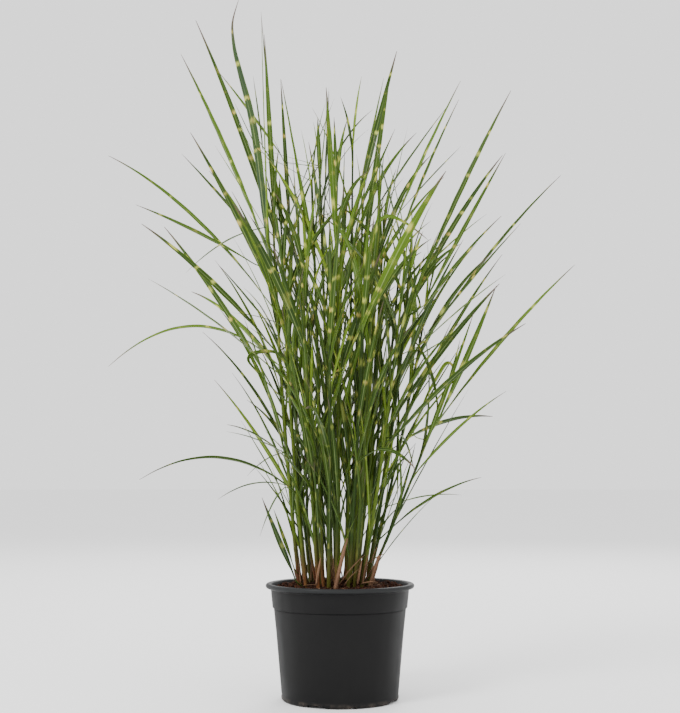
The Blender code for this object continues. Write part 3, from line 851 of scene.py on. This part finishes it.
for side_name, blades in OUTER_BLADES.items():
    outer = Bundle()
    for start, end, arch, width, twist in blades:
        start, end = np.array(start) * CM, np.array(end) * CM
        shares = np.linspace(0.0, 1.0, OUTER_STATIONS)
        middle = start + (end - start) * shares[:, None]
        middle[:, 2] += 2.0 * arch * np.linalg.norm(end - start) * shares * (1.0 - shares)
        blade_through(outer, middle, width, twist)
    outer.finish("outer_blades_" + side_name, blade_skin.material)

# ---------------------------------------------------------------------------------------------
# Bent blades. A few leaves have kinked and folded over instead of arching: three at the front and
# sides of the clump, and one at the back.
# ---------------------------------------------------------------------------------------------
BENT_BLADES = [  # width in mm, twist in degrees, and the points of the middle line in cm
    (6.5, 70, [(-7.5, -4.0, 38.1), (-9.3, -4.2, 39.9), (-10.8, -4.4, 41.6), (-11.6, -4.4, 42.8),
               (-10.9, -4.2, 43.6), (-9.0, -3.8, 43.9), (-7.5, -3.4, 43.5), (-5.8, -3.0, 42.6)]),
    (9.0, -60, [(0.2, -5.5, 47.0), (1.2, -6.4, 50.0), (2.6, -7.0, 53.4), (4.0, -7.2, 57.0),
                (4.9, -7.2, 59.8), (6.2, -7.4, 60.6), (8.6, -7.8, 59.4), (11.0, -8.2, 57.4)]),
    (6.0, 50, [(9.4, -2.0, 33.5), (10.8, -2.4, 37.5), (12.4, -2.8, 40.6), (13.6, -3.0, 42.4),
               (14.4, -3.2, 42.0), (14.6, -3.2, 40.4), (14.4, -3.2, 38.4)]),
    (5.0, 40, [(-3.6, 9.0, 40.0), (-5.0, 11.0, 43.0), (-6.2, 12.6, 45.0), (-7.4, 14.0, 45.4),
               (-8.8, 15.6, 43.8), (-10.0, 17.0, 41.0)]),
]
bent = Bundle()
for width, twist, points in BENT_BLADES:
    blade_through(bent, np.array(points) * CM, width, twist)
bent.finish("bent_blades", blade_skin.material)

# ---------------------------------------------------------------------------------------------
# Side blades. Every culm and shoot carries leaves on alternate sides all the way up; they rise
# close to the culm, then lean out and bend under their own weight.
# ---------------------------------------------------------------------------------------------
GROWTH_STEP = 12.0 * MM
CULM_LEAVES = 8
SHOOT_LEAVES = 5
TOP_LEAVES = (0.0, 2.4)  # turn of each leaf at a stem's top, in radians
TOP_LENGTHS, TOP_WIDTHS = (0.06, 0.12), (4.0, 6.5)  # metres and mm, least and most
LEANS, DROOPS = (5.0, 22.0), (3.0, 24.0)  # degrees, least and most
TOP_LEANS, TOP_DROOPS = (1.0, 6.0), (3.0, 18.0)
CULM_LEAF_REACH, SHOOT_LEAF_REACH = 0.25, 0.22


def grow_blade(bundle, root, heading, azimuth, lean, droop, length, width, tone):
    """A blade grown step by step: it starts along heading, leans to azimuth, then droops."""
    outwards = np.array([math.cos(azimuth), math.sin(azimuth), 0.0])
    steps = max(6, int(length / GROWTH_STEP))
    points = [root]
    for step in range(1, steps + 1):
        share = step / steps
        tilt = lean * min(1.0, share * 5.0) + droop * share**1.6
        direction = unit(heading * math.cos(tilt) + outwards * math.sin(tilt))
        points.append(points[-1] + direction * length / steps)
    middle = np.array(points)
    half = width_along(np.linspace(0.0, 1.0, len(middle)), width)
    side = turned_sides(middle, luck.uniform(-85.0, 85.0))
    add_blade(bundle, small_blank, middle, side, half, tone)


def dress(bundle, line, count, reach):
    """Leaves up one stem, longest part-way up and wider with height, and two along its top."""
    low, high = line[1][2], line[-1][2]
    outward = math.atan2(line[-1][1], line[-1][0])
    for k in range(count):
        share = (k + luck.uniform(0.1, 0.9)) / count
        height = low + (high - low) * (0.02 + 0.88 * share)
        root = line_at(line, height)
        heading = unit(line_at(line, height + 20.0 * MM) - root)
        azimuth = outward + math.pi * (k % 2) + luck.gauss(0.0, 0.8)
        length = reach * (0.45 + 0.5 * math.sin(math.pi * share * 0.9)) * luck.uniform(0.7, 1.2)
        lean = math.radians(luck.uniform(*LEANS) + 6.0 * share)
        droop = math.radians(luck.uniform(*DROOPS) + 18.0 * share**2)
        width = (3.6 + 4.0 * share) * luck.uniform(0.7, 1.15) * MM
        tone = luck.random() ** TONE_POWER
        grow_blade(bundle, root, heading, azimuth, lean, droop, length, width, tone)
    heading = unit(line[-1] - line[-2])
    for turn in TOP_LEAVES:
        root = line_at(line, high - luck.uniform(5.0, 30.0) * MM)
        lean = math.radians(luck.uniform(*TOP_LEANS))
        droop = math.radians(luck.uniform(*TOP_DROOPS))
        length, width = luck.uniform(*TOP_LENGTHS), luck.uniform(*TOP_WIDTHS) * MM
        tone = luck.random()
        grow_blade(bundle, root, heading, outward + turn, lean, droop, length, width, tone)


for name in culm_names:
    side_blades = Bundle()
    dress(side_blades, culm_lines[name], CULM_LEAVES, CULM_LEAF_REACH)
    side_name = name.replace("culm_", "side_blades_")
    side_blades.finish(side_name, blade_skin.material)
for half_name, lines in (("a", shoot_lines[::2]), ("b", shoot_lines[1::2])):
    shoot_blades = Bundle()
    for line in lines:
        dress(shoot_blades, line, SHOOT_LEAVES, SHOOT_LEAF_REACH)
    shoot_blades.finish("shoot_blades_" + half_name, blade_skin.material)

# ---------------------------------------------------------------------------------------------
# Straw. Old stems cut off short in spring, dry and pinkish, some leaning, with dead sheaths round
# the stems, loose bits fallen on the soil, and fine root fibres lying over it.
# ---------------------------------------------------------------------------------------------
LEANING_STRAWS = [  # ends in cm, width in mm
    ((-0.1, -5.3, 14.7), (3.1, -4.7, 18.3), 2.4),
    ((0.5, -5.1, 14.6), (2.3, -5.5, 16.6), 1.6),
    ((2.7, -4.9, 14.8), (4.7, -5.8, 15.0), 2.0),
    ((3.5, -2.4, 17.0), (5.6, -3.9, 18.4), 1.8),
    ((3.3, -2.2, 15.0), (5.0, -4.6, 17.8), 2.6),
    ((3.9, -3.0, 17.2), (4.6, -4.9, 19.3), 1.6),
    ((-2.9, -4.9, 14.6), (-2.4, -5.3, 18.0), 3.4),
    ((-5.0, -1.5, 14.6), (-5.3, -1.9, 17.8), 3.0),
    ((2.2, -4.3, 14.6), (2.7, -4.9, 17.6), 3.4),
]
DEAD_SHEATHS = 30
LITTER = 26
FIBRES = 46
FIBRE_STEPS = 7
FIBRE_RADIUS = 0.25 * MM
STRAW_SIDES, FIBRE_SIDES, STRAW_RINGS = 6, 5, 12
LITTER_EDGE = 0.95  # share of the soil's radius that nothing loose reaches past
straw = Finish("dry_straw", 0.75, 0.12)
run, across, tone = (straw.note(name) for name in ("run", "across", "tone"))
seat = straw.seat(straw.times(run, 14.0), straw.times(across, 4.5), straw.times(tone, 60.0))
fibres = straw.noise(seat, 1.0, 4.0, 0.65)
colour = straw.towards((0.050, 0.021, 0.011), (0.245, 0.140, 0.082), fibres, 0.38, 0.62)
colour = straw.towards(colour, (0.060, 0.027, 0.014), tone, 0.4, 1.0, 0.8)
straw.use("Base Color", colour)
straw.relief(fibres, 0.5, 0.3 * MM)
for name in ("straw_pink", "straw_frayed"):
    stub = Bundle()
    add_culm(stub, culm_blank, *stem_path(name), 0.1)
    stub_piece = stub.finish(name.replace("straw_", "stub_"), straw.material)
    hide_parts(name)

straw_blank = rod_blank(STRAW_SIDES, STRAW_RINGS)
crown_straw = Bundle()


def add_straw(start, end, width, tone, bow=0.06):
    """A flat strip of straw between two points, a little bowed and narrowing to its end."""
    shares = np.linspace(0.0, 1.0, 8)
    middle = start + (end - start) * shares[:, None]
    middle[:, 2] += bow * np.linalg.norm(end - start) * 4.0 * shares * (1.0 - shares)
    half = 0.5 * width * (1.0 - 0.75 * shares**3)
    add_blade(crown_straw, straw_blank, middle, turned_sides(middle, 60.0), half, tone)


for start, end, width in LEANING_STRAWS:
    add_straw(np.array(start) * CM, np.array(end) * CM, width * MM, 0.45 * luck.random())
for _ in range(DEAD_SHEATHS):
    line = luck.choice(stem_lines)
    foot, above = line_at(line, SOIL_EDGE + 5.0 * MM), line_at(line, SOIL_EDGE + 34.0 * MM)
    turn = luck.uniform(0.0, 2.0 * math.pi)
    beside = np.array([math.cos(turn), math.sin(turn), 0.0]) * 2.0 * MM
    rise = (above - foot) * luck.uniform(0.5, 1.4)
    end = foot + rise + beside * luck.uniform(1.5, 4.0)
    add_straw(foot + beside, end, luck.uniform(2.4, 4.6) * MM, luck.random(), 0.0)
for _ in range(LITTER):
    middle_spot = soil_spot(0.9, 1.4 * MM)
    turn, length = luck.uniform(0.0, math.pi), luck.uniform(9.0, 30.0) * MM
    reach = np.array([math.cos(turn), math.sin(turn), luck.uniform(-0.05, 0.12)]) * length / 2.0
    start, end = np.array(middle_spot) - reach, np.array(middle_spot) + reach
    if max(np.linalg.norm(start[:2]), np.linalg.norm(end[:2])) > LITTER_EDGE * SOIL_RADIUS:
        continue
    add_straw(start, end, luck.uniform(0.8, 2.2) * MM, luck.random(), 0.03)
crown_straw.finish("crown_straw", straw.material)

fibre_blank = rod_blank(FIBRE_SIDES, STRAW_RINGS)
root_fibres = Bundle()
for _ in range(FIBRES):
    spot, turn = soil_spot(0.88, 0.9 * MM), luck.uniform(0.0, 2.0 * math.pi)
    points = [np.array(spot)]
    for _ in range(FIBRE_STEPS):
        turn += luck.gauss(0.0, 0.5)
        step = np.array([math.cos(turn), math.sin(turn), 0.0]) * luck.uniform(1.5, 3.0) * MM
        x, y = (points[-1] + step)[:2]
        points.append(np.array([x, y, soil_level(x, y) + luck.uniform(0.4, 2.0) * MM]))
    if np.linalg.norm(points[-1][:2]) > LITTER_EDGE * SOIL_RADIUS:
        continue
    centre = smooth_path(points, np.linspace(0.0, 1.0, fibre_blank["rings"]))
    ring = fibre_blank["ring"]
    places = centre[ring].copy()
    places[:, 0] += FIBRE_RADIUS * fibre_blank["across"] * math.sin(turn)
    places[:, 1] -= FIBRE_RADIUS * fibre_blank["across"] * math.cos(turn)
    places[:, 2] += FIBRE_RADIUS * fibre_blank["over"]
    root_fibres.add(fibre_blank, places, run=0.0, across=0.0, tone=luck.random(), tip=0.0)
root_fibres.finish("root_fibres", straw.material)

# ---------------------------------------------------------------------------------------------
# Floor, lights and camera. A wide pale floor under an even white sky, a key light from the front
# left with a weak fill from the right, a back light, and a camera a little above the pot.
# ---------------------------------------------------------------------------------------------
FLOOR_RADIUS = 40.0
FLOOR_GREY = 0.93
WORLD_STRENGTH = 1.6
LIGHTS = {  # place, size and power
    "key": ((-1.9, -2.1, 2.5), 1.2, 95.0),
    "fill": ((2.2, -2.0, 1.4), 2.0, 10.0),
    "back": ((0.5, 2.4, 2.4), 1.5, 60.0),
}
CAMERA_HEIGHT = 0.274
CAMERA_DISTANCE = 1.543
CAMERA_TILT = math.radians(6.0)
CAMERA_LENS = 60.0
plant_middle = Vector((0.0, 0.0, 0.45))

floor_mesh = bmesh.new()
bmesh.ops.create_circle(floor_mesh, cap_ends=True, segments=96, radius=FLOOR_RADIUS)
floor = placed("floor", mesh_data("floor", floor_mesh))
pale_floor = Finish("pale_floor", 0.9, 0.5)
pale_floor.shader.inputs["Base Color"].default_value = (FLOOR_GREY, FLOOR_GREY, FLOOR_GREY, 1.0)
floor.data.materials.append(pale_floor.material)

world = bpy.data.worlds.new("studio")
world.use_nodes = True
world.node_tree.nodes["Background"].inputs[0].default_value = (1.0, 1.0, 1.0, 1.0)
world.node_tree.nodes["Background"].inputs[1].default_value = WORLD_STRENGTH
bpy.context.scene.world = world

for name, (place, size, power) in LIGHTS.items():
    lamp = bpy.data.lights.new(name, "AREA")
    lamp.shape = "DISK"
    lamp.size = size
    lamp.energy = power
    light = placed(name, lamp)
    light.location = place
    light.rotation_euler = (plant_middle - Vector(place)).to_track_quat("-Z", "Y").to_euler()

camera_data = bpy.data.cameras.new("camera")
camera_data.sensor_fit = "VERTICAL"
camera_data.sensor_height = 36.0
camera_data.lens = CAMERA_LENS
camera = placed("camera", camera_data)
camera.location = (0.0, -CAMERA_DISTANCE, CAMERA_HEIGHT)
camera.rotation_euler = (math.pi / 2.0 + CAMERA_TILT, 0.0, 0.0)
bpy.context.scene.camera = camera
